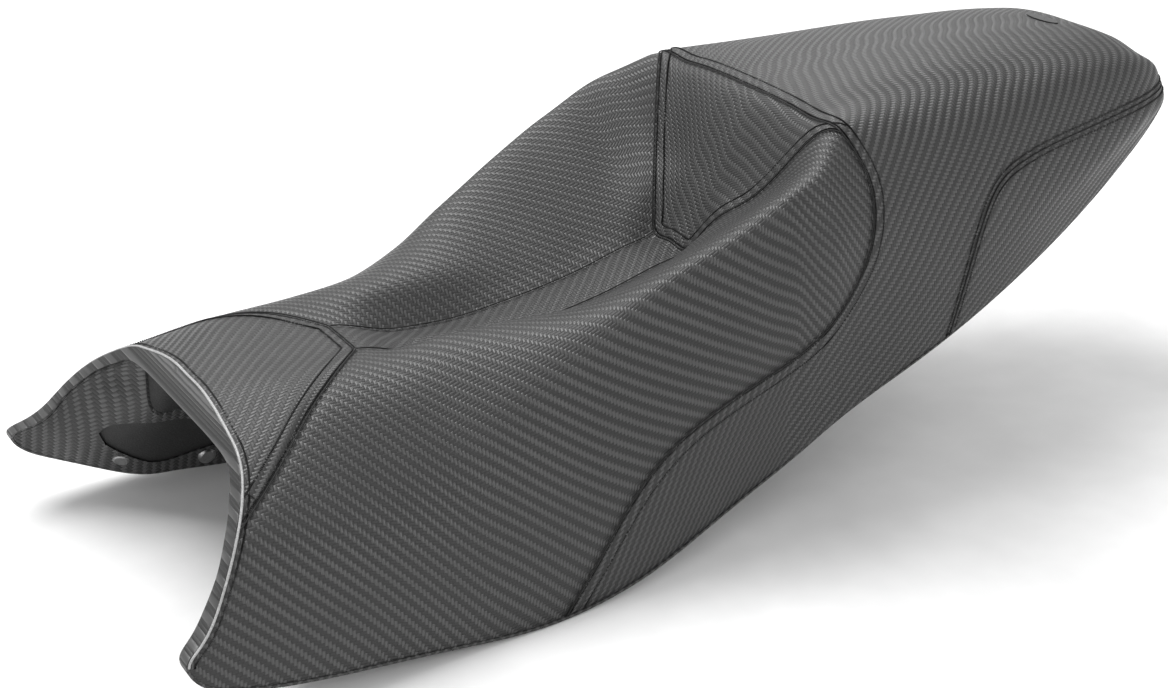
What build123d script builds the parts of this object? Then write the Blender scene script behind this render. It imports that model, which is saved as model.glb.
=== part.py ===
"""Motorcycle seat for rider and passenger: base pan, foam, gel pads, sewn cover and mounting hardware.

Frame: +Z up, +Y to the tail, +X to the rider's left side, origin under the middle of the seat at the
height of its lowest edge. The seat is symmetric about X = 0.
"""
from build123d import *
import math
import os

# ---- Overall size (mm) ----
LENGTH = 700.0
WIDTH = 282.0
HEIGHT = 231.0

# ---- Soft layers ----
COVER = 1.5
SEAM_GAP = 0.5
FIT = 0.3
EDGE_GAP = 0.1
GEL_THICKNESS = 11.0
GEL_LENGTH = 125.0
GEL_WIDTH = 44.0
GEL_TILT = 24.0
GEL_ROLL = 26.0
GEL_CORNER = 16.0

# ---- Base pan ----
PAN_WALL = 3.0
PAN_RIM = 4.0
RIB_WALL = 3.0
RIB_DEPTH = 7.0
BOSS_DIAMETER = 28.0
BOSS_DROP = 14.0
PAD_MARGIN = 4.0
ARCH_FOAM = 2.0
ARCH_BLEND = 38.0
RIB_HALF_SPAN = 48.0
LINER = 1.2
BAND_HEIGHT = 20.0

# ---- Hardware ----
RIVET_FLANGE = 11.0
RIVET_FLANGE_THICKNESS = 1.4
RIVET_SHANK = 4.8
RIVET_GRIP = 4.2
RIVET_SINK = 0.5
HOLE_CLEARANCE = 0.2
BUMPER_DIAMETER = 24.0
BUMPER_HEIGHT = 14.0
BUMPER_STEM = 9.0
BUMPER_STEM_DEPTH = 8.0
BUMPER_TAPER = 2.0
SCREW_DIAMETER = 6.0
SCREW_HEAD = 12.0
SCREW_HEAD_HEIGHT = 3.3
SCREW_LENGTH = 10.0
TONGUE_WIDTH = 44.0
TONGUE_BASE = 24.0
TONGUE_THICKNESS = 3.0
TONGUE_REACH = 26.0
STRIKER_ROD = 8.0
STRIKER_SPAN = 40.0
STRIKER_DROP = 34.0
STRIKER_BEND = 9.0
STRIKER_PLATE = (76.0, 50.0, 3.0)
PATCH_SIZE = (26.0, 11.0, 1.2)
PATCH_PROUD = 0.7

# ---- Shape guides, drawn on a seat of DRAWN size and stretched to the sizes above ----
DRAWN_LENGTH = 700.0
DRAWN_WIDTH = 282.0
DRAWN_HEIGHT = 231.0

# Each guide runs from the horn tips to the tail as (y, x, z) points of the left half.
CHANNEL_HALF_WIDTH = 17.0
CENTRE_GUIDE = [
    (-350, 0, 110), (-300, 0, 120), (-284, 0, 123), (-250, 0, 126), (-200, 0, 123), (-160, 0, 112),
    (-125, 0, 110), (-90, 0, 113), (-50, 0, 119), (-10, 0, 129), (8, 0, 133), (30, 0, 167),
    (63, 0, 222), (100, 0, 228), (160, 0, 231), (240, 0, 229), (300, 0, 224), (330, 0, 214),
    (345, 0, 204), (350, 0, 198),
]
CHANNEL_GUIDE = [(y, CHANNEL_HALF_WIDTH, z) for y, _, z in CENTRE_GUIDE]
ROLL_GUIDE = [
    (-350, 34, 108), (-300, 34, 118), (-284, 34, 121), (-250, 34, 127), (-200, 32, 125),
    (-160, 31, 124), (-125, 31, 122), (-90, 31, 121), (-50, 31, 126), (-10, 30, 136), (30, 34, 167),
    (63, 42, 221), (100, 42, 227), (160, 40, 229), (240, 36, 227), (300, 32, 223), (330, 28, 213),
    (345, 24, 203), (350, 20, 197),
]
DISH_GUIDE = [
    (-350, 58, 104), (-300, 58, 113), (-284, 58, 116), (-250, 55, 124), (-200, 50, 126),
    (-160, 46, 130), (-125, 48, 132), (-90, 53, 134), (-50, 58, 143), (-10, 60, 157), (30, 61, 177),
    (63, 65, 219), (100, 62, 224), (160, 59, 225), (240, 55, 223), (300, 51, 219), (330, 44, 209),
    (345, 37, 200), (350, 31, 195),
]
CREST_GUIDE = [
    (-350, 86, 92), (-300, 82, 106), (-250, 79, 112), (-200, 74, 117), (-160, 68, 125), (-125, 76, 133),
    (-90, 87, 146), (-50, 96, 165), (-10, 100, 183), (30, 97, 201), (63, 88, 218), (100, 84, 217),
    (160, 79, 216), (240, 74, 215), (300, 68, 211), (330, 58, 205), (345, 48, 198), (350, 40, 193),
]
SHOULDER_GUIDE = [
    (-350, 112, 77), (-324, 110, 85), (-300, 105, 92), (-250, 103, 91), (-200, 98, 96), (-160, 93, 108),
    (-125, 96, 120), (-90, 102, 138), (-50, 107, 158), (-10, 112, 178), (30, 112, 197), (63, 104, 201),
    (100, 100, 200), (160, 95, 201), (240, 85, 201), (300, 75, 199), (330, 64, 196), (345, 53, 192),
    (350, 44, 189),
]
SIDE_GUIDE = [
    (-350, 135, 54), (-324, 127, 61), (-300, 124, 64), (-250, 123, 64), (-200, 120, 66),
    (-160, 115, 75), (-125, 114, 84), (-90, 117, 101), (-50, 120, 122), (-10, 122, 141), (30, 124, 161),
    (63, 117, 169), (100, 111, 166), (160, 105, 166), (240, 94, 170), (300, 81, 179), (330, 69, 184),
    (345, 58, 184), (350, 47, 183),
]
FLANK_GUIDE = [
    (-350, 144, 28), (-324, 140, 30), (-300, 138, 31), (-250, 136, 31), (-200, 134, 30),
    (-160, 132, 34), (-125, 130, 40), (-90, 129, 50), (-50, 127, 66), (-10, 123, 80), (30, 120, 96),
    (63, 115, 112), (100, 112, 117), (160, 104, 126), (240, 90, 142), (300, 78, 165), (330, 68, 176),
    (345, 57, 178), (350, 45, 179),
]
LOW_GUIDE = [
    (-350, 146, 2), (-324, 143, -2), (-300, 141, -5), (-250, 140, -8), (-200, 139, -12),
    (-160, 138, -14), (-125, 135, -14), (-90, 131, -9), (-50, 123, 2), (-10, 115, 14), (30, 110, 30),
    (63, 107, 42), (100, 104, 55), (160, 96, 76), (240, 82, 104), (300, 75, 142), (330, 67, 160),
    (345, 56, 166), (350, 45, 168),
]
GUIDES = [CENTRE_GUIDE, CHANNEL_GUIDE, ROLL_GUIDE, DISH_GUIDE, CREST_GUIDE, SHOULDER_GUIDE, SIDE_GUIDE,
          FLANK_GUIDE, LOW_GUIDE]
STATIONS = [
    -350, -335, -318, -300, -284, -265, -242, -200, -160, -125, -90, -50, -10, 8, 30, 63, 100, 160, 240,
    300, 330, 345, 350,
]

# Roof of the base pan as (y, z, squareness of its section).
PAN_GUIDE = [
    (-350, 100, 2.2), (-300, 111, 2.3), (-250, 112, 2.3), (-200, 105, 2.5), (-160, 94, 3.0),
    (-125, 90, 3.4), (-90, 93, 3.6), (-50, 98, 3.8), (-10, 106, 3.8), (30, 126, 3.6), (63, 150, 3.4),
    (100, 164, 3.2), (160, 175, 3.0), (240, 184, 3.0), (300, 190, 3.0), (330, 190, 3.0), (350, 186, 3.0),
]
PAN_STEPS = 7

# Foam between the pan's side wall and the cover, as (y, thickness): thick where the tank narrows.
SIDE_FOAM = [
    (-350, 2), (-335, 2.5), (-319, 9), (-308, 17), (-296, 26), (-282, 32), (-242, 32), (-215, 29),
    (-175, 19), (-130, 11), (-90, 9), (350, 9),
]
TAIL_FOAM = SIDE_FOAM[-1][1]

# How finely surfaces and seams are followed.
LEAN_STEP = 2.0
LEAN_LIMIT = 2.2
SEAM_STEPS = 24
FRONT_OVERRUN = 12.0
TAIL_START = 290.0

# Side-view edges, as (y, z).
ARCH_EDGE = [(-289, 150), (-289, 122), (-293, 110), (-305, 94), (-324, 69), (-342, 51)]
TIP = (-350, 45)
BOTTOM_EDGE = [
    (-347, 37), (-330, 26), (-290, 16), (-230, 8), (-146, 0), (-92, 6), (-37, 21), (20, 38), (80, 61),
    (143, 80), (251, 122), (301, 154), (340, 178), (370, 190),
]
# Side-view seams, as (y, z).
PASSENGER_SEAM = [
    (66, 260), (61, 219), (67, 199), (67, 178), (60, 150), (26, 115), (-30, 95), (-63, 81), (-96, 54),
    (-122, 24), (-148, -6), (-170, -40),
]
TAIL_SEAM = [
    (380, 197), (339, 196), (300, 194), (245, 189), (190, 181), (168, 171), (156, 152), (149, 125),
    (142, 80), (134, 30),
]
# Top-view seams, as (x, y).
NOSE_SEAM = [(17, -200), (45, -225), (73, -258), (97, -290), (122, -330), (150, -385)]
LUMBAR_SEAM = [(18, 10), (30, 18), (52, 33), (70, 46), (89, 61), (110, 78)]

# Places along the drawn seat.
FOAM_JOINT = 75.0
LINER_END = -212.0
LINER_START = 70.0
LINER_WINDOW = [
    (-309, 50), (-302, 58), (-289, 61), (-275, 60), (-254, 52), (-238, 41), (-231, 31), (-248, 26),
    (-267, 23), (-280, 24), (-288, 28), (-299, 36), (-306, 42),
]
RIVETS = [(-297, 28), (-250, 58), (-247, 19), (-190, 14), (-130, 12), (-70, 22), (-10, 40), (50, 61),
          (110, 82), (170, 102), (230, 126), (285, 158)]
GEL_CENTRE = (64, -40, 137)
RIB_STATIONS = (-180, -110, -45, 30, 100, 150, 240, 285)
BUMPERS = (("front", 50, -145), ("rear", 34, 262))
TONGUE_STATION = -228.0
STRIKER_STATION = 198.0
PATCH_STATION = 291.0


def stretch(y, x, z):
    """A drawn (y, x, z) point at the seat's own size."""
    return (y * LENGTH / DRAWN_LENGTH, x * WIDTH / DRAWN_WIDTH, z * HEIGHT / DRAWN_HEIGHT)


def stretch_yz(points):
    return [(y * LENGTH / DRAWN_LENGTH, z * HEIGHT / DRAWN_HEIGHT) for y, z in points]


def stretch_xy(points):
    return [(x * WIDTH / DRAWN_WIDTH, y * LENGTH / DRAWN_LENGTH) for x, y in points]


def along(guide, y):
    """The other values of a guide at y, by a smooth curve that never overshoots its points."""
    ys = [point[0] for point in guide]
    y = min(max(y, ys[0]), ys[-1])
    i = max(k for k in range(len(ys) - 1) if ys[k] <= y)
    step = ys[i + 1] - ys[i]
    t = (y - ys[i]) / step
    values = []
    for column in range(1, len(guide[0])):
        v = [point[column] for point in guide]
        slopes = [(v[k + 1] - v[k]) / (ys[k + 1] - ys[k]) for k in range(len(ys) - 1)]
        start, end = guide_slope(slopes, i), guide_slope(slopes, i + 1)
        values.append(
            v[i] * (1 + 2 * t) * (1 - t) ** 2 + start * step * t * (1 - t) ** 2
            + v[i + 1] * t * t * (3 - 2 * t) + end * step * t * t * (t - 1)
        )
    return values


def guide_slope(slopes, k):
    """Slope of the smooth curve at point k: flat at a turning point, else the harmonic mean."""
    if k == 0:
        return slopes[0]
    if k == len(slopes):
        return slopes[-1]
    before, after = slopes[k - 1], slopes[k]
    if before * after <= 0:
        return 0.0
    return 2 * before * after / (before + after)


def half_section(y):
    """Left half of the outer skin at drawn station y, from the centre line out and down, as (x, z)."""
    points = []
    for guide in GUIDES:
        x, z = along(guide, y)
        _, x, z = stretch(y, x, z)
        points.append((x, z))
    return points


def skin_at(y, z):
    """Distance of the outer skin from the middle at drawn station y and height z, on the side of the seat."""
    points = half_section(y)
    for (x0, z0), (x1, z1) in zip(points[3:], points[4:]):
        if z1 <= z <= z0:
            return x0 + (x1 - x0) * (z0 - z) / (z0 - z1)
    return points[3][0] if z > points[3][1] else points[-1][0]


def near_arch(y, z):
    """1 at the front arch and in front of it, falling smoothly to 0 behind it, at drawn station y."""
    arch = [(height, station) for station, height in reversed(stretch_yz(ARCH_EDGE + [TIP]))]
    behind_edge = y * LENGTH / DRAWN_LENGTH - along(arch, z)[0]
    t = min(max(behind_edge / ARCH_BLEND, 0.0), 1.0)
    return 1 - t * t * (3 - 2 * t)


def pan_half_section(y):
    """Left half of the pan's outer face at drawn station y, as (x, z): it hugs the skin at the arch."""
    roof, squareness = along(PAN_GUIDE, y)
    roof = roof * HEIGHT / DRAWN_HEIGHT
    foam = along(SIDE_FOAM, y)[0]
    side, flank, low = half_section(y)[-3:]
    points = []
    for k in range(PAN_STEPS + 1):
        angle = math.radians(90 * k / PAN_STEPS)
        z = low[1] + (roof - low[1]) * math.cos(angle) ** (2 / squareness)
        lower, upper = (flank, side) if z > flank[1] else (low, flank)
        t = min(1.0, (z - lower[1]) / (upper[1] - lower[1]))
        wall = lower[0] + (upper[0] - lower[0]) * t - COVER - foam
        x = wall * math.sin(angle) ** (2 / squareness)
        share = near_arch(y, z)
        if k and share:
            x += (skin_at(y, z) - COVER - ARCH_FOAM - x) * share
        points.append((x, z))
    return points


def inset_section(section, y, depth):
    """A half section at drawn station y, moved inward by depth along the surface normal."""
    points = section(y)
    before, after = section(y - LEAN_STEP), section(y + LEAN_STEP)
    centre_mirror = (-points[1][0], points[1][1])
    moved = []
    for k, (x, z) in enumerate(points):
        x0, z0 = points[k - 1] if k else centre_mirror
        x1, z1 = points[min(k + 1, len(points) - 1)]
        size = math.hypot(x1 - x0, z1 - z0)
        nx, nz = (z0 - z1) / size, (x1 - x0) / size
        lean = ((after[k][0] - before[k][0]) * nx + (after[k][1] - before[k][1]) * nz) / (2 * LEAN_STEP)
        travel = depth * min(math.hypot(1, lean), LEAN_LIMIT)
        moved.append((x - nx * travel, z - nz * travel))
    return moved


def shared_parameters(halves):
    """Spline parameters for whole sections: the mean share of the way round at each point."""
    shares = [0.0] * len(halves[0])
    for half in halves:
        steps = [math.dist(p, q) for p, q in zip(half, half[1:])]
        for k in range(1, len(half)):
            shares[k] += sum(steps[:k]) / sum(steps) / len(halves)
    return [-share for share in reversed(shares[1:])] + shares


def section_wire(y, half, parameters):
    """Closed wire of a whole section in the plane at y."""
    right = [Vector(-x, y, z) for x, z in reversed(half[1:])]
    left = [Vector(x, y, z) for x, z in half]
    curve = Edge.make_spline(right + left, parameters=parameters)
    return Wire([curve, Edge.make_line(left[-1], right[0])])


def body(section, depth, tail_inset):
    """Solid under a surface, from in front of the horn tips to tail_inset short of the tail."""
    places, halves = [], []
    for y in [STATIONS[0] - FRONT_OVERRUN] + STATIONS:
        place = y * LENGTH / DRAWN_LENGTH
        if y > TAIL_START:
            place -= tail_inset * (y - TAIL_START) / (STATIONS[-1] - TAIL_START)
        places.append(place)
        halves.append(inset_section(section, y, depth))
    parameters = shared_parameters(halves)
    return Solid.make_loft([section_wire(y, half, parameters) for y, half in zip(places, halves)])


def skin_body(depth):
    """Everything deeper than depth under the outer skin."""
    return body(half_section, depth, depth)


def pan_body(depth):
    """Everything deeper than depth under the pan's outer face."""
    return body(pan_half_section, depth, COVER + TAIL_FOAM + depth)


def pan_roof(y):
    """Height of the pan's inner face on the centre line at y."""
    return along(PAN_GUIDE, y * DRAWN_LENGTH / LENGTH)[0] * HEIGHT / DRAWN_HEIGHT - PAN_WALL


def shifted(points, shift):
    """An open line of points moved by shift to the left of its direction."""
    moved = []
    for k, (u, v) in enumerate(points):
        u0, v0 = points[max(k - 1, 0)]
        u1, v1 = points[min(k + 1, len(points) - 1)]
        size = math.hypot(u1 - u0, v1 - v0)
        moved.append((u - (v1 - v0) / size * shift, v + (u1 - u0) / size * shift))
    return moved


def side_prism(curve, corners):
    """Prism across the seat whose side view is a smooth curve of (y, z) points closed by corners."""
    start = Vector(-WIDTH, 0, 0)
    line = [Vector(0, y, z) + start for y, z in curve]
    loop = [line[-1]] + [Vector(0, y, z) + start for y, z in corners] + [line[0]]
    edges = [Edge.make_spline(line)] + [Edge.make_line(a, b) for a, b in zip(loop, loop[1:])]
    return Solid.extrude(Face(Wire(edges)), Vector(2 * WIDTH, 0, 0))


def top_prism(outline):
    """Tall prism over straight (x, y) corners."""
    face = Face(Wire.make_polygon([Vector(x, y, -HEIGHT) for x, y in outline]))
    return Solid.extrude(face, Vector(0, 0, 3 * HEIGHT))


def trim(inset):
    """Everything inside the side-view edge of the seat, moved inward by inset."""
    edge = shifted(stretch_yz(ARCH_EDGE + [TIP] + BOTTOM_EDGE), inset)
    return side_prism(edge, [(edge[-1][0], LENGTH), (edge[0][0], LENGTH)])


def above(height):
    """Everything more than height above the lower edge, behind the horn tips."""
    line = shifted(stretch_yz(BOTTOM_EDGE[1:]), height)
    return side_prism(line, [(line[-1][0], LENGTH), (line[0][0], LENGTH)])


def behind(seam, shift):
    """Everything to the left of a side-view seam, moved to its left by shift."""
    line = shifted(stretch_yz(seam), shift)
    return side_prism(line, [(LENGTH, line[-1][1]), (LENGTH, line[0][1])])


def seam_line(seam, shift):
    """Close points on the smooth curve of a top-view seam, moved to its left by shift."""
    curve = Edge.make_spline([Vector(x, y, 0) for x, y in shifted(stretch_xy(seam), shift)])
    points = [curve.position_at(k / SEAM_STEPS) for k in range(SEAM_STEPS + 1)]
    return [(p.X, p.Y) for p in points]


def mirrored(line):
    return [(-x, y) for x, y in reversed(line)]


def half_space(sign, gap):
    """The left (sign 1) or right (sign -1) half of space, starting gap away from the middle."""
    block = Box(WIDTH, 2 * LENGTH, 4 * HEIGHT)
    return Pos(sign * (WIDTH / 2 + gap), 0, 0) * block


def slab(y_front, y_back):
    """All space between two cross planes."""
    return Pos(0, (y_front + y_back) / 2, 0) * Box(2 * WIDTH, y_back - y_front, 4 * HEIGHT)


def cover_panels():
    """The sewn outer panels, with a narrow gap at each seam."""
    skin = (skin_body(0) - skin_body(COVER)) & trim(COVER + EDGE_GAP)
    half = SEAM_GAP / 2
    rear = skin & behind(PASSENGER_SEAM, half)
    front = skin - behind(PASSENGER_SEAM, -half)
    channel_half = CHANNEL_HALF_WIDTH * WIDTH / DRAWN_WIDTH
    channel_front = NOSE_SEAM[0][1] * LENGTH / DRAWN_LENGTH
    channel_back = LUMBAR_SEAM[0][1] * LENGTH / DRAWN_LENGTH

    nose_side = seam_line(NOSE_SEAM, -half)
    nose_side[0] = (nose_side[0][0], channel_front - half)
    nose = top_prism(nose_side + mirrored(nose_side))
    lumbar_side = seam_line(LUMBAR_SEAM, half)
    lumbar_side[0] = (channel_half + half, channel_back + half)
    lumbar = top_prism(lumbar_side + mirrored(lumbar_side))
    strip = Pos(0, (channel_front + channel_back) / 2, 0) * Box(
        2 * channel_half - SEAM_GAP, channel_back - channel_front - SEAM_GAP, 4 * HEIGHT)
    rider_front = seam_line(NOSE_SEAM, half)
    rider_back = seam_line(LUMBAR_SEAM, -half)
    rider_front[0] = (channel_half + half, channel_front)
    rider_back[0] = (channel_half + half, channel_back)
    rider = top_prism(rider_front + [(WIDTH, rider_front[-1][1]), (WIDTH, rider_back[-1][1])]
                      + list(reversed(rider_back)))
    panels = {
        "cover_nose": front & nose,
        "cover_channel": front & strip,
        "cover_lumbar": front & lumbar,
        "cover_rider_left": front & rider,
        "cover_passenger": (rear - behind(TAIL_SEAM, -half)) - patch_block(HOLE_CLEARANCE),
        "cover_tail_left": (rear & behind(TAIL_SEAM, half)) & half_space(1, half),
    }
    panels["cover_rider_right"] = panels["cover_rider_left"].mirror(Plane.YZ)
    panels["cover_tail_right"] = panels["cover_tail_left"].mirror(Plane.YZ)
    return panels


def patch_block(clearance):
    """Plain oval patch near the tail, laid into the cover; it carries no mark."""
    length, width, thickness = PATCH_SIZE
    y = PATCH_STATION * LENGTH / DRAWN_LENGTH
    top = along(CENTRE_GUIDE, PATCH_STATION)[1] * HEIGHT / DRAWN_HEIGHT
    ahead = along(CENTRE_GUIDE, PATCH_STATION + LEAN_STEP)[1] * HEIGHT / DRAWN_HEIGHT
    tilt = math.degrees(math.atan2(ahead - top, LEAN_STEP * LENGTH / DRAWN_LENGTH))
    oval = Ellipse(length / 2 + clearance, width / 2 + clearance)
    disc = extrude(oval, PATCH_PROUD + clearance) + extrude(oval, -(thickness - PATCH_PROUD + clearance))
    return Pos(0, y, top) * Rot(tilt, 0, 0) * disc


def gel_block(clearance):
    """Tilted block that a gel pad fills under the left side of the rider's place."""
    corner = GEL_CORNER + clearance
    block = Box(GEL_WIDTH + 2 * clearance, GEL_LENGTH + 2 * clearance, 4 * GEL_THICKNESS)
    block = fillet(block.edges().filter_by(Axis.Z), corner)
    x, y, z = GEL_CENTRE
    y, x, z = stretch(y, x, z)
    lift = 2 * GEL_THICKNESS - clearance
    return Pos(x, y, z) * Rot(GEL_TILT, 0, 0) * Rot(0, -GEL_ROLL, 0) * Pos(0, 0, lift) * block


def foam_and_gel():
    """Moulded foam for rider and passenger, and the gel pads set into its top."""
    top = skin_body(COVER + FIT)
    foam = (top & trim(COVER + 2 * EDGE_GAP + PAN_RIM + FIT)) - pan_body(-FIT)
    joint = FOAM_JOINT * LENGTH / DRAWN_LENGTH
    gel_left = top & gel_block(0)
    pocket = gel_block(FIT)
    rider = foam & slab(-LENGTH, joint - FIT / 2)
    rider = rider - pocket - pocket.mirror(Plane.YZ)
    return {
        "foam_rider": rider,
        "foam_passenger": foam & slab(joint + FIT / 2, LENGTH),
        "gel_pad_left": gel_left,
        "gel_pad_right": gel_left.mirror(Plane.YZ),
    }


def ribs():
    """Cross and lengthwise ribs under the roof of the pan."""
    stations = [station * LENGTH / DRAWN_LENGTH for station in RIB_STATIONS]
    plates = [Pos(0, y, 0) * Box(2 * RIB_HALF_SPAN, RIB_WALL, 4 * HEIGHT) for y in stations]
    middle, span = (stations[0] + stations[-1]) / 2, stations[-1] - stations[0]
    for sign in (-1, 1):
        plates.append(Pos(sign * RIB_HALF_SPAN / 2, middle, 0) * Box(RIB_WALL, span, 4 * HEIGHT))
    grid = plates[0]
    for plate in plates[1:]:
        grid = grid + plate
    return grid - pan_body(PAN_WALL + RIB_DEPTH)


def bumper_places():
    """(name, x, y, face height) of each rubber bumper's seat."""
    places = []
    for name, x, station in BUMPERS:
        y = station * LENGTH / DRAWN_LENGTH
        for side, sign in (("left", 1), ("right", -1)):
            at_x = sign * x * WIDTH / DRAWN_WIDTH
            places.append((f"bumper_{name}_{side}", at_x, y, pan_roof(y) - BOSS_DROP))
    return places


def tongue_screw_places():
    y = TONGUE_STATION * LENGTH / DRAWN_LENGTH
    return [(sign * TONGUE_WIDTH / 4, y) for sign in (-1, 1)]


def striker_screw_places():
    y = STRIKER_STATION * LENGTH / DRAWN_LENGTH
    x_step, y_step = STRIKER_PLATE[0] / 2 - SCREW_HEAD * 0.7, STRIKER_PLATE[1] / 2 - SCREW_HEAD * 0.7
    return [(sx * x_step, y + sy * y_step) for sx in (-1, 1) for sy in (-1, 1)]


def tongue_face():
    return pan_roof(TONGUE_STATION * LENGTH / DRAWN_LENGTH) - BOSS_DROP


def striker_face():
    return pan_roof(STRIKER_STATION * LENGTH / DRAWN_LENGTH) - BOSS_DROP


def bosses():
    """Flat-faced bosses and pads that the hardware seats on, with their blind holes."""
    tall = HEIGHT
    solids = []
    holes = []
    for _, x, y, face in bumper_places():
        solids.append(Pos(x, y, face + tall / 2) * Cylinder(BOSS_DIAMETER / 2, tall))
        holes.append(drill(BUMPER_STEM + 2 * HOLE_CLEARANCE, BUMPER_STEM_DEPTH, x, y, face))
    for places, face in ((tongue_screw_places(), tongue_face()), (striker_screw_places(), striker_face())):
        for x, y in places:
            holes.append(drill(SCREW_DIAMETER + 2 * HOLE_CLEARANCE, SCREW_LENGTH, x, y, face))
    for (width, depth), face, station in (
        ((TONGUE_WIDTH, TONGUE_BASE), tongue_face(), TONGUE_STATION),
        (STRIKER_PLATE[:2], striker_face(), STRIKER_STATION),
    ):
        pad = Box(width + PAD_MARGIN, depth + PAD_MARGIN, tall)
        solids.append(Pos(0, station * LENGTH / DRAWN_LENGTH, face + tall / 2) * pad)
    joined = solids[0]
    for solid in solids[1:]:
        joined = joined + solid
    for hole in holes:
        joined = joined - hole
    return joined


def drill(diameter, depth, x, y, z):
    """Vertical hole upward from a face at z."""
    return Pos(x, y, z + depth / 2) * Cylinder(diameter / 2, depth)


def base_pan():
    """Moulded pan: vaulted shell with an edge flange, ribs, bosses and rivet holes."""
    edge = COVER + EDGE_GAP
    inside = trim(edge)
    room = pan_body(PAN_WALL) - bosses() - ribs()
    shell = (pan_body(0) & inside) - room
    flange = (skin_body(COVER + FIT) & inside) - trim(edge + PAN_RIM) - pan_body(PAN_WALL / 2)
    pan = shell + flange
    for rivet in rivets(HOLE_CLEARANCE):
        pan = pan - rivet - rivet.mirror(Plane.YZ)
    return pan


def lining():
    """Turned-in cover on the inside of the pan: a liner on each horn and a band above each lower edge."""
    edge = COVER + 2 * EDGE_GAP
    sheet = (pan_body(PAN_WALL + EDGE_GAP) - pan_body(PAN_WALL + EDGE_GAP + LINER)) & trim(edge)
    split = LINER_END * LENGTH / DRAWN_LENGTH
    horn = sheet & slab(-LENGTH, split) & half_space(1, LINER_START * WIDTH / DRAWN_WIDTH)
    horn = horn - side_prism(stretch_yz(LINER_WINDOW), [])
    band = (sheet - above(edge + BAND_HEIGHT)) & slab(split + SEAM_GAP, LENGTH) & half_space(1, SEAM_GAP / 2)
    parts = {"horn_liner_left": horn, "turned_edge_left": band}
    for rivet in rivets(HOLE_CLEARANCE):
        parts = {name: shape - rivet for name, shape in parts.items()}
    parts["horn_liner_right"] = parts["horn_liner_left"].mirror(Plane.YZ)
    parts["turned_edge_right"] = parts["turned_edge_left"].mirror(Plane.YZ)
    return parts


def edge_folds():
    """Folded cover edge that closes the arch and the lower edges, one layer thick."""
    wall = skin_body(0) - pan_body(PAN_WALL + EDGE_GAP + LINER)
    fold = (wall & trim(0)) - trim(COVER)
    split = LINER_END * LENGTH / DRAWN_LENGTH
    side = fold & slab(split + SEAM_GAP, LENGTH) & half_space(1, SEAM_GAP / 2)
    return {
        "edge_fold_front": fold & slab(-LENGTH, split),
        "edge_fold_left": side,
        "edge_fold_right": side.mirror(Plane.YZ),
    }


def lining_point(y, z):
    """Point at height z on the left inner face of the lining at y, and its normal towards the middle."""
    def wall(at_y, at_z):
        drawn = at_y * DRAWN_LENGTH / LENGTH
        section = inset_section(pan_half_section, drawn, PAN_WALL + EDGE_GAP + LINER)
        for (x0, z0), (x1, z1) in zip(section[2:], section[3:]):
            if z1 <= at_z <= z0:
                return x0 + (x1 - x0) * (at_z - z0) / (z1 - z0)
        return section[-1][0]
    x = wall(y, z)
    by_y = (wall(y + LEAN_STEP, z) - wall(y - LEAN_STEP, z)) / (2 * LEAN_STEP)
    by_z = (wall(y, z + LEAN_STEP) - wall(y, z - LEAN_STEP)) / (2 * LEAN_STEP)
    return Vector(x, y, z), Vector(-1, by_y, by_z).normalized()


def rivets(clearance):
    """Flanged rivets of the left side: a domed flange on the lining and a shank through the pan wall."""
    solids = []
    for y, z in stretch_yz(RIVETS):
        point, normal = lining_point(y, z)
        place = Plane(origin=point, z_dir=normal)
        flange = Pos(0, 0, RIVET_FLANGE_THICKNESS / 2 - RIVET_SINK) * Cone(
            RIVET_FLANGE / 2, RIVET_FLANGE / 3, RIVET_FLANGE_THICKNESS)
        shank = Pos(0, 0, -RIVET_GRIP / 2) * Cylinder(RIVET_SHANK / 2 + clearance, RIVET_GRIP)
        solids.append(place.location * (flange + shank))
    return solids


def front_tongue():
    """Flat steel tongue that hooks under the frame ahead of its two screws."""
    y = TONGUE_STATION * LENGTH / DRAWN_LENGTH
    depth = TONGUE_BASE + TONGUE_REACH
    plate = Box(TONGUE_WIDTH, depth, TONGUE_THICKNESS)
    plate = fillet(plate.edges().filter_by(Axis.Z), TONGUE_WIDTH / 6)
    plate = Pos(0, y - TONGUE_REACH / 2, tongue_face() - TONGUE_THICKNESS / 2) * plate
    for x, hole_y in tongue_screw_places():
        plate = plate - drill(SCREW_DIAMETER + 2 * HOLE_CLEARANCE, TONGUE_THICKNESS, x, hole_y,
                              tongue_face() - TONGUE_THICKNESS)
    return plate


def striker_plate():
    """Plate that spreads the latch load into the pan."""
    width, depth, thickness = STRIKER_PLATE
    y = STRIKER_STATION * LENGTH / DRAWN_LENGTH
    plate = Box(width, depth, thickness)
    plate = fillet(plate.edges().filter_by(Axis.Z), SCREW_HEAD / 2)
    plate = Pos(0, y, striker_face() - thickness / 2) * plate
    for x, hole_y in striker_screw_places():
        plate = plate - drill(SCREW_DIAMETER + 2 * HOLE_CLEARANCE, thickness, x, hole_y,
                              striker_face() - thickness)
    return plate


def latch_striker():
    """Bent steel rod under the plate, which the seat lock grips."""
    y = STRIKER_STATION * LENGTH / DRAWN_LENGTH
    top = striker_face() - STRIKER_PLATE[2]
    bottom = top - STRIKER_DROP + STRIKER_ROD / 2
    half = STRIKER_SPAN / 2
    path = FilletPolyline((-half, y, top), (-half, y, bottom), (half, y, bottom), (half, y, top),
                          radius=STRIKER_BEND)
    profile = Plane(origin=(-half, y, top), z_dir=(0, 0, -1)) * Circle(STRIKER_ROD / 2)
    return sweep(profile, path=path)


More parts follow.
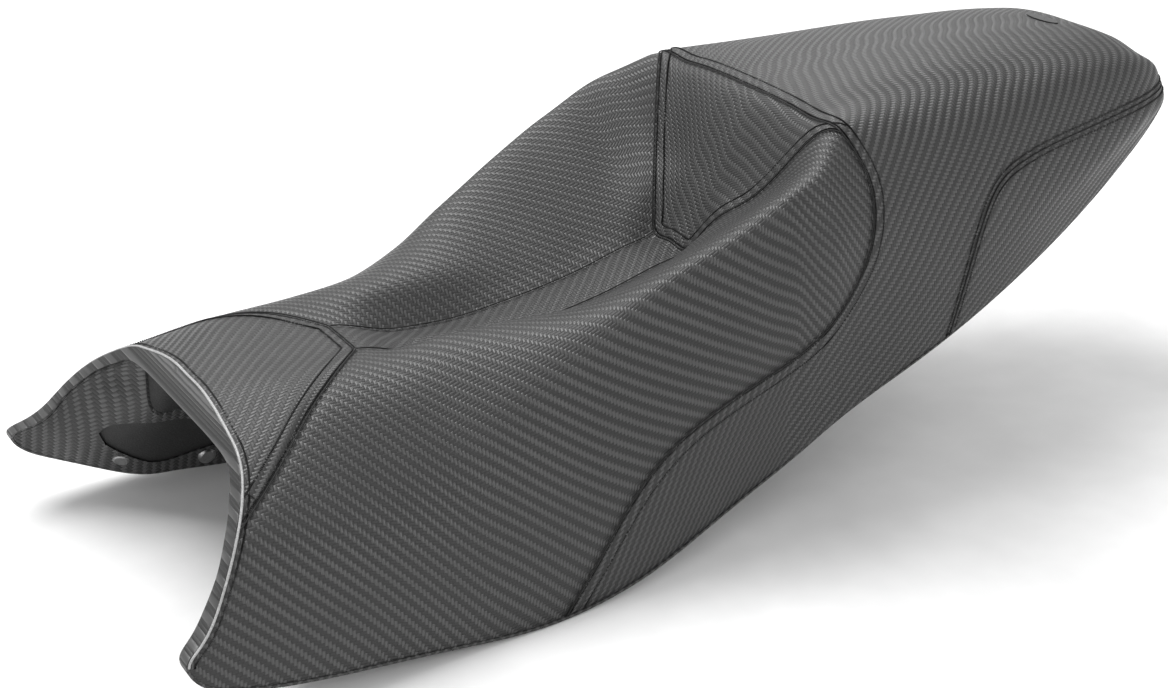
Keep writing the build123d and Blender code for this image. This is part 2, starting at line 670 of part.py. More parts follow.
def screws(places, face, thickness):
    """Pan-head screws up through a plate of the given thickness under face."""
    solids = []
    for x, y in places:
        middle = face - thickness - SCREW_HEAD_HEIGHT / 2
        head = Pos(x, y, middle) * Cylinder(SCREW_HEAD / 2, SCREW_HEAD_HEIGHT)
        shank_length = SCREW_LENGTH + thickness - HOLE_CLEARANCE
        shank = Pos(x, y, face - thickness + shank_length / 2) * Cylinder(SCREW_DIAMETER / 2, shank_length)
        socket = Pos(x, y, face - thickness - SCREW_HEAD_HEIGHT) * extrude(
            RegularPolygon(SCREW_DIAMETER / 3, 6), SCREW_HEAD_HEIGHT / 2)
        solids.append(head + shank - socket)
    return Compound(children=solids)


def bumpers():
    """Rubber bumpers whose stems press into the pan bosses."""
    shapes = {}
    for name, x, y, face in bumper_places():
        foot = Pos(x, y, face - BUMPER_HEIGHT / 2) * Cone(
            BUMPER_DIAMETER / 2 - BUMPER_TAPER, BUMPER_DIAMETER / 2, BUMPER_HEIGHT)
        stem_length = BUMPER_STEM_DEPTH - HOLE_CLEARANCE
        stem = Pos(x, y, face + stem_length / 2) * Cylinder(BUMPER_STEM / 2, stem_length)
        shapes[name] = foot + stem
    return shapes


def build():
    parts = {"base_pan": base_pan()}
    parts.update(foam_and_gel())
    parts.update(cover_panels())
    parts.update(lining())
    parts.update(edge_folds())
    parts["rivets_left"] = Compound(children=rivets(0))
    parts["rivets_right"] = Compound(children=[rivet.mirror(Plane.YZ) for rivet in rivets(0)])
    parts["tail_patch"] = patch_block(0)
    parts["front_tongue"] = front_tongue()
    parts["tongue_screws"] = screws(tongue_screw_places(), tongue_face(), TONGUE_THICKNESS)
    parts["striker_plate"] = striker_plate()
    parts["latch_striker"] = latch_striker()
    parts["striker_screws"] = screws(striker_screw_places(), striker_face(), STRIKER_PLATE[2])
    parts.update(bumpers())
    return parts


os.makedirs("parts", exist_ok=True)
for node, shape in build().items():
    export_step(shape, f"parts/{node}.step")
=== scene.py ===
"""Looks of the motorcycle seat: sewn twill-vinyl panels over the frame's bodies, seams, hem and finishes."""

import math

import bpy
import numpy as np
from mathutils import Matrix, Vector
from mathutils.bvhtree import BVHTree
from mathutils.kdtree import KDTree


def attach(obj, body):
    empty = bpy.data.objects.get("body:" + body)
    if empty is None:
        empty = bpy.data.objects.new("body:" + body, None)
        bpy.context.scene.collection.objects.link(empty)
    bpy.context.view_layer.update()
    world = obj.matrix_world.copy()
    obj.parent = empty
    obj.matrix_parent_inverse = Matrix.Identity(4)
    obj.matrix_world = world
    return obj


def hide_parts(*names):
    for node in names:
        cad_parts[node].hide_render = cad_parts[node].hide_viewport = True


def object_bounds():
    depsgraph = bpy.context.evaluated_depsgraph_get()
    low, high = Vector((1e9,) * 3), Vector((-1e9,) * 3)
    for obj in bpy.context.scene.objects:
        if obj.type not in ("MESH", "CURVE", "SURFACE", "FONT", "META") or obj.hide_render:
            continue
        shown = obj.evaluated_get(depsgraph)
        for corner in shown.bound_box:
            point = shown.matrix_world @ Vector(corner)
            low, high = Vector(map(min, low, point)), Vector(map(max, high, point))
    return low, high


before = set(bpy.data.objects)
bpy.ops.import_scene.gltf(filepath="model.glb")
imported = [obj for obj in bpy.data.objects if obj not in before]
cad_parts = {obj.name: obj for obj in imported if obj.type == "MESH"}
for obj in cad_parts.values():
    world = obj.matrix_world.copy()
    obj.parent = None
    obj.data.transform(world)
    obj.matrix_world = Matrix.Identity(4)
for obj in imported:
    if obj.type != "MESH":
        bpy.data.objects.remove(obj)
cad_lo, cad_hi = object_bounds()

# ---- Shape guides of the outer skin, in millimetres of the drawn seat ----
CHANNEL_HALF_WIDTH = 17.0
CENTRE_GUIDE = [
    (-350, 0, 110), (-300, 0, 120), (-284, 0, 123), (-250, 0, 126), (-200, 0, 123), (-160, 0, 112),
    (-125, 0, 110), (-90, 0, 113), (-50, 0, 119), (-10, 0, 129), (8, 0, 133), (30, 0, 167),
    (63, 0, 222), (100, 0, 228), (160, 0, 231), (240, 0, 229), (300, 0, 224), (330, 0, 214),
    (345, 0, 204), (350, 0, 198),
]
CHANNEL_GUIDE = [(y, CHANNEL_HALF_WIDTH, z) for y, _, z in CENTRE_GUIDE]
ROLL_GUIDE = [
    (-350, 34, 108), (-300, 34, 118), (-284, 34, 121), (-250, 34, 127), (-200, 32, 125),
    (-160, 31, 124), (-125, 31, 122), (-90, 31, 121), (-50, 31, 126), (-10, 30, 136), (30, 34, 167),
    (63, 42, 221), (100, 42, 227), (160, 40, 229), (240, 36, 227), (300, 32, 223), (330, 28, 213),
    (345, 24, 203), (350, 20, 197),
]
DISH_GUIDE = [
    (-350, 58, 104), (-300, 58, 113), (-284, 58, 116), (-250, 55, 124), (-200, 50, 126),
    (-160, 46, 130), (-125, 48, 132), (-90, 53, 134), (-50, 58, 143), (-10, 60, 157), (30, 61, 177),
    (63, 65, 219), (100, 62, 224), (160, 59, 225), (240, 55, 223), (300, 51, 219), (330, 44, 209),
    (345, 37, 200), (350, 31, 195),
]
CREST_GUIDE = [
    (-350, 86, 92), (-300, 82, 106), (-250, 79, 112), (-200, 74, 117), (-160, 68, 125), (-125, 76, 133),
    (-90, 87, 146), (-50, 96, 165), (-10, 100, 183), (30, 97, 201), (63, 88, 218), (100, 84, 217),
    (160, 79, 216), (240, 74, 215), (300, 68, 211), (330, 58, 205), (345, 48, 198), (350, 40, 193),
]
SHOULDER_GUIDE = [
    (-350, 112, 77), (-324, 110, 85), (-300, 105, 92), (-250, 103, 91), (-200, 98, 96), (-160, 93, 108),
    (-125, 96, 120), (-90, 102, 138), (-50, 107, 158), (-10, 112, 178), (30, 112, 197), (63, 104, 201),
    (100, 100, 200), (160, 95, 201), (240, 85, 201), (300, 75, 199), (330, 64, 196), (345, 53, 192),
    (350, 44, 189),
]
SIDE_GUIDE = [
    (-350, 135, 54), (-324, 127, 61), (-300, 124, 64), (-250, 123, 64), (-200, 120, 66),
    (-160, 115, 75), (-125, 114, 84), (-90, 117, 101), (-50, 120, 122), (-10, 122, 141), (30, 124, 161),
    (63, 117, 169), (100, 111, 166), (160, 105, 166), (240, 94, 170), (300, 81, 179), (330, 69, 184),
    (345, 58, 184), (350, 47, 183),
]
FLANK_GUIDE = [
    (-350, 144, 28), (-324, 140, 30), (-300, 138, 31), (-250, 136, 31), (-200, 134, 30),
    (-160, 132, 34), (-125, 130, 40), (-90, 129, 50), (-50, 127, 66), (-10, 123, 80), (30, 120, 96),
    (63, 115, 112), (100, 112, 117), (160, 104, 126), (240, 90, 142), (300, 78, 165), (330, 68, 176),
    (345, 57, 178), (350, 45, 179),
]
LOW_GUIDE = [
    (-350, 146, 2), (-324, 143, -2), (-300, 141, -5), (-250, 140, -8), (-200, 139, -12),
    (-160, 138, -14), (-125, 135, -14), (-90, 131, -9), (-50, 123, 2), (-10, 115, 14), (30, 110, 30),
    (63, 107, 42), (100, 104, 55), (160, 96, 76), (240, 82, 104), (300, 75, 142), (330, 67, 160),
    (345, 56, 166), (350, 45, 168),
]
ARCH_EDGE = [(-289, 150), (-289, 122), (-293, 110), (-305, 94), (-324, 69), (-342, 51)]
BOTTOM_EDGE = [
    (-347, 37), (-330, 26), (-290, 16), (-230, 8), (-146, 0), (-92, 6), (-37, 21), (20, 38), (80, 61),
    (143, 80), (251, 122), (301, 154), (340, 178), (370, 190),
]
PASSENGER_SEAM = [
    (66, 260), (61, 219), (67, 199), (67, 178), (60, 150), (26, 115), (-30, 95), (-63, 81), (-96, 54),
    (-122, 24), (-148, -6), (-170, -40),
]
TAIL_SEAM = [
    (380, 191), (339, 190), (300, 189), (245, 186), (190, 180), (168, 171), (156, 152), (149, 125),
    (142, 80), (134, 30),
]
NOSE_SEAM = [(17, -200), (45, -225), (73, -258), (97, -290), (122, -330), (150, -385)]
LUMBAR_SEAM = [(18, 10), (30, 18), (52, 33), (70, 46), (89, 61), (110, 78)]
STATIONS = [
    -350, -335, -318, -300, -284, -265, -242, -200, -160, -125, -90, -50, -10, 8, 30, 63, 100, 160, 240,
    300, 330, 345, 350,
]
TIP = (-350, 45)
SCALE = 0.001
FRONT = -356
TAIL = 348.5
CAP = 24.0
CAP_ROWS = 15
CAP_ROUND = 1.5
CAP_HEIGHT = 190.0
GUIDES = [
    CENTRE_GUIDE, CHANNEL_GUIDE, ROLL_GUIDE, DISH_GUIDE, CREST_GUIDE, SHOULDER_GUIDE, SIDE_GUIDE,
    FLANK_GUIDE, LOW_GUIDE,
]

# ---- How the skin is sewn, in metres unless said, and shaded ----
GRID_ROWS, GRID_COLUMNS = ((401, 361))
HEM_INSET = 1.0  # millimetres
HEM_TUCK = 0.0004
HEM_TUCK_WIDTH = 0.0022
PINCH = 0.0010
PINCH_WIDTH = 0.0038
RIPPLE = 0.00012
SEAM_STEP = 0.001
LEAST_SEAM = 0.05
# Radius of the near-black cord of painted shade laid along each seam's fold
FOLD_SHADE_RADIUS = 0.0004
BAND_RISE = 0.00045
BAND_SINK = 0.0006
STITCH_HEIGHT = 0.0006
STITCH_RADIUS = 0.0005
THREAD_STEP = 0.0002
ARCH_LOW = 0.044
ARCH_BACK = -0.2
ARCH_HEM_RADIUS = 0.0007
ARCH_STITCH_INSET = 0.0032
EDGE_ROUND = 0.0006
WELD_DISTANCE = 0.00002
TOW = 1.9  # millimetres
# Colours of the warp and weft floats; the warp floats are lighter as painted sheen, standing in for the satin
# highlight that depends on thread direction
WARP_TONE, WEFT_TONE = 0.052, 0.024
WORLD_LIGHT = 0.6
LIGHTS = [
    ("key", (-0.9, -0.5, 2.0), (0, 0, 0.1), (1.6, 1.6), 52.0),
    ("side", (2.0, 1.2, 1.3), (0, 0, 0.1), (1.2, 1.2), 14.0),
    ("front", (1.3, -1.9, 0.7), (0, -0.2, 0.05), (1.0, 0.8), 12.0),
    ("back", (-1.6, 1.4, 1.6), (0, 0, 0.1), (1.2, 1.2), 14.0),
]
CAMERA_PLACE = (0.89527, -0.596855, 0.573365)
CAMERA_AZIMUTH, CAMERA_ELEVATION = math.radians(58.5), math.radians(25.1)
CAMERA_LENS = 61.46

# Columns of the skin's table: station, girth place, cloth u and v, normal, then distances inside each line
Y, GIRTH, EDGE, PASSENGER, TAILSIDE, NOSE, LUMBAR, CHANNEL = 0, 1, 7, 8, 9, 10, 11, 12
CLOTH_UV, NORMAL = slice(2, 4), slice(4, 7)


def natural_basis(knots, at):
    """Rows of weights that give the smooth curve through values at the knots."""
    n = len(knots)
    h = np.diff(knots)
    system = np.eye(n)
    right = np.zeros((n, n))
    for k in range(1, n - 1):
        system[k, k - 1:k + 2] = h[k - 1], 2 * (h[k - 1] + h[k]), h[k]
        right[k, k - 1:k + 2] = 6 / h[k - 1], -6 / h[k - 1] - 6 / h[k], 6 / h[k]
    second = np.linalg.solve(system, right)
    i = np.clip(np.searchsorted(knots, at, side="right") - 1, 0, n - 2)
    a = ((knots[i + 1] - at) / h[i])[:, None]
    b = 1 - a
    step = (h[i] ** 2 / 6)[:, None]
    eye = np.eye(n)
    return a * eye[i] + b * eye[i + 1] + ((a ** 3 - a) * second[i] + (b ** 3 - b) * second[i + 1]) * step


def smooth_line(points, count):
    """Close points on the smooth curve through a few."""
    p = np.array(points, float)
    knots = np.concatenate([[0], np.cumsum(np.linalg.norm(np.diff(p, axis=0), axis=1))])
    return natural_basis(knots, np.linspace(0, knots[-1], count)) @ p


def along(guide, y):
    """The (x, z) of a guide at each y, never overshooting its points."""
    g = np.array(guide, float)
    xs, v = g[:, 0], g[:, 1:]
    h = np.diff(xs)
    d = np.diff(v, axis=0) / h[:, None]
    m = np.zeros_like(v)
    m[0], m[-1] = d[0], d[-1]
    same = d[:-1] * d[1:] > 0
    m[1:-1] = np.where(same, 2 * d[:-1] * d[1:] / np.where(same, d[:-1] + d[1:], 1), 0)
    y = np.clip(y, xs[0], xs[-1])
    i = np.clip(np.searchsorted(xs, y, side="right") - 1, 0, len(xs) - 2)
    t = ((y - xs[i]) / h[i])[:, None]
    w = h[i][:, None]
    return (v[i] * (1 + 2 * t) * (1 - t) ** 2 + m[i] * w * t * (1 - t) ** 2
            + v[i + 1] * t * t * (3 - 2 * t) + m[i + 1] * w * t * t * (t - 1))


def sections(y):
    """Whole cross sections at each y as (n, 17, 2), right lower edge to left lower edge."""
    left = np.stack([along(guide, y) for guide in GUIDES], axis=1)
    right = left[:, :0:-1] * np.array([-1, 1])
    return np.concatenate([right, left], axis=1)


def girth_knots():
    """Mean share of the half girth at which each guide lies, mirrored to -1 to 1."""
    whole = sections(np.array(STATIONS, float))[:, 8:]
    steps = np.linalg.norm(np.diff(whole, axis=1), axis=2)
    share = (np.cumsum(steps, axis=1) / steps.sum(axis=1)[:, None]).mean(axis=0)
    return np.concatenate([-share[::-1], [0], share])


KNOTS = girth_knots()


def surface(y, w):
    """Points of the outer skin in metres at stations y and girth places w; past TAIL the end rolls shut."""
    weights = natural_basis(KNOTS, w)
    p = np.einsum("nk,nkc->nc", weights, sections(y))
    past = np.clip((y - TAIL) / CAP, 0, 1)
    turn = np.minimum(past / 0.3, 1) * math.pi / 2
    shut = np.where(past < 0.3, 0.25 * (1 - np.cos(turn)), 0.25 + (past - 0.3) / 0.7 * 0.75)
    x = p[:, 0] * (1 - 0.2 * shut)
    z = p[:, 1] + (CAP_HEIGHT - p[:, 1]) * shut
    out = np.stack([x, np.minimum(y, TAIL) + CAP_ROUND * np.sin(turn), z], axis=1)
    return out * SCALE


def signed(points, line):
    """Distance of 2D points from a line, positive on its left."""
    a, b = line[:-1], line[1:]
    d = b - a
    size = (d ** 2).sum(axis=1)
    out = np.empty(len(points))
    for s in range(0, len(points), 8000):
        p = points[s:s + 8000, None, :] - a[None]
        t = np.clip((p * d).sum(axis=2) / size, 0, 1)
        gap = p - t[..., None] * d
        far = (gap ** 2).sum(axis=2)
        k = far.argmin(axis=1)
        r = np.arange(len(k))
        side = d[k, 0] * p[r, k, 1] - d[k, 1] * p[r, k, 0]
        out[s:s + 8000] = np.sqrt(far[r, k]) * np.sign(side)
    return out


def both_sides(half):
    """A top-view seam of the left half joined to its mirror."""
    line = smooth_line(half, 120)
    return np.concatenate([(line * [-1, 1])[::-1], line])


def clip(tris, rows, column, sign):
    """The part of a mesh where a column is positive (sign 1) or negative, and the cut's segments."""
    f = rows[:, column] * sign
    inside = f[tris] >= 0
    count = inside.sum(axis=1)
    kept = [tris[count == 3]]
    odd = {1: tris[count == 1], 2: tris[count == 2]}
    flag = {1: inside[count == 1], 2: ~inside[count == 2]}
    edges, parts = [], []
    for kind in (1, 2):
        t = odd[kind]
        k = flag[kind].argmax(axis=1)
        r = np.arange(len(t))
        a, b, c = t[r, k], t[r, (k + 1) % 3], t[r, (k + 2) % 3]
        edges += [np.stack([a, b], 1), np.stack([a, c], 1)]
        parts.append((a, b, c))
    pairs = np.concatenate(edges)
    low, high = pairs.min(axis=1), pairs.max(axis=1)
    key, back = np.unique(low * len(rows) + high, return_inverse=True)
    low, high = key // len(rows), key % len(rows)
    t = (f[low] / (f[low] - f[high]))[:, None]
    fresh = rows[low] * (1 - t) + rows[high] * t
    fresh[:, column] = 0
    back = back.reshape(-1) + len(rows)
    n1, n2 = len(odd[1]), len(odd[2])
    ab1, ac1 = back[:n1], back[n1:2 * n1]
    ab2, ac2 = back[2 * n1:2 * n1 + n2], back[2 * n1 + n2:]
    kept.append(np.stack([parts[0][0], ab1, ac1], 1))
    kept.append(np.stack([ab2, parts[1][1], parts[1][2]], 1))
    kept.append(np.stack([ab2, parts[1][2], ac2], 1))
    segments = np.concatenate([np.stack([ab1, ac1], 1), np.stack([ab2, ac2], 1)])
    return np.concatenate(kept), np.concatenate([rows, fresh]), segments


def chains(segments):
    """Runs of vertex indices from loose segments, longest first."""
    near = {}
    for a, b in segments.tolist():
        near.setdefault(a, []).append(b)
        near.setdefault(b, []).append(a)
    found, seen = [], set()
    for start in sorted(near, key=lambda k: len(near[k])):
        if start in seen:
            continue
        run = [start]
        seen.add(start)
        while True:
            ahead = [k for k in near[run[-1]] if k not in seen]
            if not ahead:
                break
            run.append(ahead[0])
            seen.add(ahead[0])
        found.append(run)
    return sorted(found, key=len, reverse=True)


def resample(points, step):
    """The same line with points a step apart."""
    size = np.linalg.norm(np.diff(points, axis=0), axis=1)
    at = np.concatenate([[0], np.cumsum(size)])
    count = max(2, int(round(at[-1] / step)) + 1)
    where = np.linspace(0, at[-1], count)
    return np.stack([np.interp(where, at, points[:, k]) for k in range(points.shape[1])], axis=1)


def eased(points, rounds=6):
    """The same line with its small kinks worn down."""
    p = points.copy()
    for _ in range(rounds):
        p[1:-1] = p[1:-1] * 0.5 + (p[:-2] + p[2:]) * 0.25
    return p


def seam_points(segments, rows):
    """Each run of a cut as smooth points on the skin, a millimetre apart."""
    lines = []
    for run in chains(segments):
        if len(run) < 6:
            continue
        p = surface(rows[run, Y], rows[run, GIRTH])
        p = eased(resample(p, SEAM_STEP))
        if np.linalg.norm(np.diff(p, axis=0), axis=1).sum() > LEAST_SEAM:
            lines.append(p)
    return lines


# ---- The skin as a grid ----
def build_grid():
    """The whole skin before it is cut: stations, girth places, points, cloth u and v, triangles and shape."""
    ys = np.concatenate([np.linspace(FRONT, TAIL, GRID_ROWS), TAIL + np.linspace(0, CAP, CAP_ROWS)[1:]])
    ws = np.linspace(-1, 1, GRID_COLUMNS)
    y, w = [a.ravel() for a in np.meshgrid(ys, ws, indexing="ij")]
    shape = (len(ys), len(ws))
    p = surface(y, w).reshape(*shape, 3)
    across = np.linalg.norm(np.diff(p, axis=1), axis=2)
    u = np.concatenate([np.zeros((len(ys), 1)), np.cumsum(across, axis=1)], axis=1)
    u -= u[:, len(ws) // 2][:, None]
    lengthwise = np.linalg.norm(np.diff(p, axis=0), axis=2)
    v = np.concatenate([np.zeros((1, len(ws))), np.cumsum(lengthwise, axis=0)], axis=0)
    index = np.arange(len(y)).reshape(shape)
    a, b, c, d = index[:-1, :-1], index[:-1, 1:], index[1:, 1:], index[1:, :-1]
    tris = np.concatenate([np.stack([a, b, c], -1).reshape(-1, 3), np.stack([a, c, d], -1).reshape(-1, 3)])
    return y, w, p.reshape(-1, 3), u.ravel() * 1000, v.ravel() * 1000, tris, shape


def grid_normals(p, shape):
    """Outward unit normals of points laid out as a grid."""
    g = p.reshape(*shape, 3)
    n = np.cross(np.gradient(g, axis=1), np.gradient(g, axis=0))
    size = np.linalg.norm(n, axis=2, keepdims=True)
    return (n / np.maximum(size, 1e-12)).reshape(-1, 3)


def nearest(points, line):
    """Distance in metres from each point to a line of close points."""
    fine = resample(line, 0.0004)
    tree = KDTree(len(fine))
    for k, q in enumerate(fine):
        tree.insert(q, k)
    tree.balance()
    return np.array([tree.find(q)[2] for q in points])


def hollow(distance):
    """How far the skin sinks at a distance from a seam, in metres."""
    return PINCH * np.exp(-(distance / PINCH_WIDTH) ** 2)


# ---- Mesh objects ----
def add_mesh(name, points, faces, uv=None, normals=None):
    """A smooth-shaded mesh object, with a cloth map and its own normals where given."""
    mesh = bpy.data.meshes.new(name)
    mesh.from_pydata(points.tolist(), [], faces.tolist() if hasattr(faces, "tolist") else faces)
    if uv is not None:
        layer = mesh.uv_layers.new(name="cloth")
        loops = np.empty(len(mesh.loops), np.int64)
        mesh.loops.foreach_get("vertex_index", loops)
        layer.data.foreach_set("uv", uv[loops].astype(np.float32).ravel())
    mesh.polygons.foreach_set("use_smooth", [True] * len(mesh.polygons))
    mesh.update()
    if normals is not None:
        mesh.normals_split_custom_set_from_vertices(normals.tolist())
    obj = bpy.data.objects.new(name, mesh)
    bpy.context.scene.collection.objects.link(obj)
    return obj


def dress(obj, material):
    """Give a piece its material and slot, and let it ride the seat."""
    obj.data.materials.append(material)
    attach(obj, "root")


def tube_faces(base, rings, sides):
    """Faces of a capped tube whose rings of vertices start at base."""
    faces = []
    for i in range(rings - 1):
        for k in range(sides):
            m = (k + 1) % sides
            low, high = base + i * sides, base + (i + 1) * sides
            faces.append((low + k, low + m, high + m, high + k))
    faces.append(tuple(base + k for k in reversed(range(sides))))
    faces.append(tuple(base + (rings - 1) * sides + k for k in range(sides)))
    return faces


def sweep(lines, radius, sides=8):
    """Round cords along lines of points, as one set of vertices and faces."""
    points, faces, base = [], [], 0
    for line in lines:
        t = np.gradient(line, axis=0)
        t /= np.linalg.norm(t, axis=1, keepdims=True)
        up = np.array([surface_normal(q) for q in line])
        side = np.cross(up, t)
        side /= np.linalg.norm(side, axis=1, keepdims=True)
        up = np.cross(t, side)
        ring = []
        for k in range(sides):
            a = 2 * math.pi * k / sides
            ring.append(line + side * math.cos(a) * radius + up * math.sin(a) * radius)
        points.append(np.stack(ring, axis=1).reshape(-1, 3))
        faces += tube_faces(base, len(line), sides)
        base += len(line) * sides
    return np.concatenate(points), faces


def on_skin(point):
    """Nearest point on the finished skin, its normal, cloth place and distance inside the trimmed edge."""
    place, _, index, _ = SKIN_TREE.find_nearest(Vector(point))
    a, b, c = TRIS[index]
    pa, pb, pc = SKIN_POINTS[a], SKIN_POINTS[b], SKIN_POINTS[c]
    q = np.array(place)
    v0, v1, v2 = pb - pa, pc - pa, q - pa
    d00, d01, d11, d20, d21 = v0 @ v0, v0 @ v1, v1 @ v1, v2 @ v0, v2 @ v1
    scale = d00 * d11 - d01 * d01
    s = (d11 * d20 - d01 * d21) / scale if scale > 1e-20 else 0.0
    t = (d00 * d21 - d01 * d20) / scale if scale > 1e-20 else 0.0
    mix = np.array([1 - s - t, s, t])
    n = mix @ SKIN_NORMALS[[a, b, c]]
    return q, n / np.linalg.norm(n), mix @ SKIN_UV[[a, b, c]], mix @ FIELDS[[a, b, c], EDGE]


def surface_normal(point):
    """Normal of the finished skin nearest a point."""
    return on_skin(point)[1]


def beside(line, offset, height):
    """A line moved sideways over the skin and lifted, with normals, cloth places and distances inside."""
    t = np.gradient(line, axis=0)
    t /= np.linalg.norm(t, axis=1, keepdims=True)
    points, normals, uv, inside = [], [], [], []
    for q, d in zip(line, t):
        n = surface_normal(q)
        b = np.cross(n, d)
        b /= np.linalg.norm(b)
        place, normal, cloth, depth = on_skin(q + b * offset)
        points.append(place + normal * height)
        normals.append(normal)
        uv.append(cloth)
        inside.append(depth)
    return np.array(points), np.array(normals), np.array(uv), np.array(inside)


def longest_run(mask):
    """Start and end of the longest stretch of true values."""
    edges = np.flatnonzero(np.diff(np.concatenate([[0], mask.astype(int), [0]])))
    starts, ends = edges[::2], edges[1::2]
    best = (ends - starts).argmax()
    return starts[best], ends[best]


def band(name, lines, start, end, material):
    """The seam allowance under a seam: a low raised strip beside it, in the panel's own cloth."""
    width, rise = end - start, BAND_RISE
    shape = [
        (0, -BAND_SINK), (0.08, 0.55 * rise), (0.2, rise), (0.5, rise * 1.1), (0.8, rise),
        (0.92, 0.55 * rise), (1, -BAND_SINK),
    ]
    points, faces, cloth, base = [], [], [], 0
    for line in lines:
        rows = [beside(line, start + width * share, height) for share, height in shape]
        first, last = longest_run(np.min([r[3] for r in rows], axis=0) > 0.2)
        rows = [[column[first:last] for column in r] for r in rows]
        n, m = last - first, len(shape)
        points.append(np.stack([r[0] for r in rows], axis=1).reshape(-1, 3))
        cloth.append(np.stack([r[2] for r in rows], axis=1).reshape(-1, 2))
        for i in range(n - 1):
            for k in range(m - 1):
                a = base + i * m + k
                faces.append((a, a + m, a + m + 1, a + 1) if end > start else (a, a + 1, a + m + 1, a + m))
        base += n * m
    dress(add_mesh(name, np.concatenate(points), faces, uv=np.concatenate(cloth)), material)


def stitches(name, rows, material, length=0.0034, gap=0.0009):
    """Thread stitches along rows made by beside, each a short bar that dips into the cloth at its ends."""
    rings, sides, radius = 7, 6, STITCH_RADIUS
    share = np.linspace(-1, 1, rings)
    girth = np.sqrt(np.maximum(1 - np.abs(share) ** 6, 0.0)) * 0.75 + 0.25
    drop = -np.abs(share) ** 3 * radius * 1.5
    angles = np.arange(sides) * 2 * math.pi / sides
    all_points, faces, base = [], [], 0
    for points, normals, _, inside in rows:
        first, last = longest_run(inside > 0.6)
        points, normals = points[first:last], normals[first:last]
        both = resample(np.concatenate([points, normals], axis=1), THREAD_STEP)
        line, up = both[:, :3], both[:, 3:]
        pitch = int(round((length + gap) / THREAD_STEP))
        run = int(round(length / THREAD_STEP))
        for start in range(2, len(line) - run - 1, pitch):
            a, b = line[start], line[start + run]
            n = up[start + run // 2]
            d = b - a
            size = np.linalg.norm(d)
            if size < 1e-6:
                continue
            d = d / size
            side = np.cross(n, d)
            side /= np.linalg.norm(side)
            n = np.cross(d, side)
            middle = (a + b) / 2
            for s, g, z in zip(share, girth, drop):
                centre = middle + d * (s * size / 2) + n * z
                for t in angles:
                    out = side * math.cos(t) + n * math.sin(t) * 0.8
                    all_points.append(centre + out * radius * g)
            faces += tube_faces(base, rings, sides)
            base += rings * sides
    dress(add_mesh(name, np.array(all_points), faces), material)


# ---- Materials ----
class Shader:
    """A material under construction, with short ways to add nodes."""

    def __init__(self, name):
        self.material = bpy.data.materials.new(name)
        self.material.use_nodes = True
        self.tree = self.material.node_tree
        self.surface = self.tree.nodes["Principled BSDF"]

    def link(self, source, target):
        """Join an output to an input, or set the input to a plain value."""
        if hasattr(source, "is_output"):
            self.tree.links.new(source, target)
        else:
            target.default_value = source

    def math(self, operation, a, b=0.0, c=0.0):
        node = self.tree.nodes.new("ShaderNodeMath")
        node.operation = operation
        for socket, value in zip(node.inputs, (a, b, c)):
            self.link(value, socket)
        return node.outputs[0]

    def mix(self, factor, a, b):
        """Blend of two numbers."""
        return self.math("ADD", self.math("MULTIPLY", a, self.math("SUBTRACT", 1.0, factor)),
                         self.math("MULTIPLY", b, factor))

    def grey(self, value, warm=(1.0, 1.0, 1.0)):
        node = self.tree.nodes.new("ShaderNodeCombineColor")
        for socket, share in zip(node.inputs, warm):
            self.link(self.math("MULTIPLY", value, share), socket)
        return node.outputs[0]

    def noise(self, place, scale, detail=3.0):
        node = self.tree.nodes.new("ShaderNodeTexNoise")
        node.inputs["Scale"].default_value = scale
        node.inputs["Detail"].default_value = detail
        self.tree.links.new(place, node.inputs["Vector"])
        return node.outputs["Fac"]

    def place(self):
        return self.tree.nodes.new("ShaderNodeTexCoord").outputs["Object"]

    def bump(self, height, distance, strength=1.0, below=None):
        node = self.tree.nodes.new("ShaderNodeBump")
        node.inputs["Distance"].default_value = distance
        node.inputs["Strength"].default_value = strength
        self.link(height, node.inputs["Height"])
        if below is not None:
            self.tree.links.new(below, node.inputs["Normal"])
        return node.outputs["Normal"]

    def set(self, **values):
        for name, value in values.items():
            self.link(value, self.surface.inputs[name.replace("_", " ")])


def cloth_places(shader, axes=None):
    """Two cloth coordinates in millimetres: from the cloth map, or from two object axes."""
    split = shader.tree.nodes.new("ShaderNodeSeparateXYZ")
    if axes is None:
        source = shader.tree.nodes.new("ShaderNodeUVMap")
        source.uv_map = "cloth"
        shader.tree.links.new(source.outputs["UV"], split.inputs[0])
        return split.outputs["X"], split.outputs["Y"]
    shader.tree.links.new(shader.place(), split.inputs[0])
    return tuple(shader.math("MULTIPLY", split.outputs[axis], 1000.0) for axis in axes)


